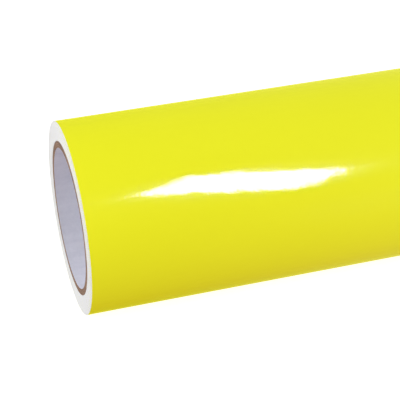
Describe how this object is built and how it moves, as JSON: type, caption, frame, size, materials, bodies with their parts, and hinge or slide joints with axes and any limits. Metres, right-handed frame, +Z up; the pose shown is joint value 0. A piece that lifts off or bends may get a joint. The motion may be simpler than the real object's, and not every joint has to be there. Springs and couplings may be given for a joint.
{
  "type": "roll of sign vinyl",
  "caption": "Full roll of glossy self-adhesive sign-cutting vinyl on a release liner, wound face out on a paperboard core, with a lift-up tail held by tape tabs.",
  "frame": {"origin": "centre of the core's bore, at the middle of its length", "axes": "+X along the roll, +Y towards the back, where the tail is taped down, and +Z up, with the roll lying on its side"},
  "size_m": [0.61, 0.1049, 0.1045],
  "materials": {
    "vinyl_film": "gloss calendered yellow PVC film",
    "release_liner": "white coated release paper",
    "core_lining": "smooth grey-white lining paper",
    "core_board": "matt brown kraft board with torn fibres at the cut ends",
    "core_finish": "smooth brown finishing ply",
    "mounting_tape": "double-sided tissue tape",
    "masking_tape": "creped masking tape, satin"
  },
  "bodies": {
    "roll": {"core_inner_ply": "core_lining", "core_kraft_ply_1": "core_board", "core_kraft_ply_2": "core_board", "core_kraft_ply_3": "core_board", "core_kraft_ply_4": "core_board", "core_kraft_ply_5": "core_board", "core_outer_ply": "core_finish", "start_tape": "mounting_tape", "release_liner": "release_liner", "vinyl_film": "vinyl_film", "outer_turn_liner": "release_liner", "outer_turn_film": "vinyl_film"},
    "tail": {"tail_liner": "release_liner", "tail_film": "vinyl_film"},
    "film_flap": {"peel_flap_film": "vinyl_film"},
    "tape_left": {"tail_tape_left": "masking_tape"},
    "tape_middle": {"tail_tape_middle": "masking_tape"},
    "tape_right": {"tail_tape_right": "masking_tape"}
  },
  "joints": [
    {"name": "tail_lift", "type": "hinge", "parent": "roll", "child": "tail", "pos_m": [0, 0.03378, 0.03984], "axis": [1, 0, 0], "range_deg": [0, 90]},
    {"name": "film_peel", "type": "hinge", "parent": "tail", "child": "film_flap", "pos_m": [0, 0.04255, 0.0306], "axis": [1, 0, 0], "range_deg": [0, 75]},
    {"name": "tape_peel_left", "type": "hinge", "parent": "film_flap", "child": "tape_left", "pos_m": [0, 0.05121, 0.01179], "axis": [1, 0, 0], "range_deg": [0, 90]},
    {"name": "tape_peel_middle", "type": "hinge", "parent": "film_flap", "child": "tape_middle", "pos_m": [0, 0.05121, 0.01179], "axis": [1, 0, 0], "range_deg": [0, 90]},
    {"name": "tape_peel_right", "type": "hinge", "parent": "film_flap", "child": "tape_right", "pos_m": [0, 0.05121, 0.01179], "axis": [1, 0, 0], "range_deg": [0, 90]}
  ]
}
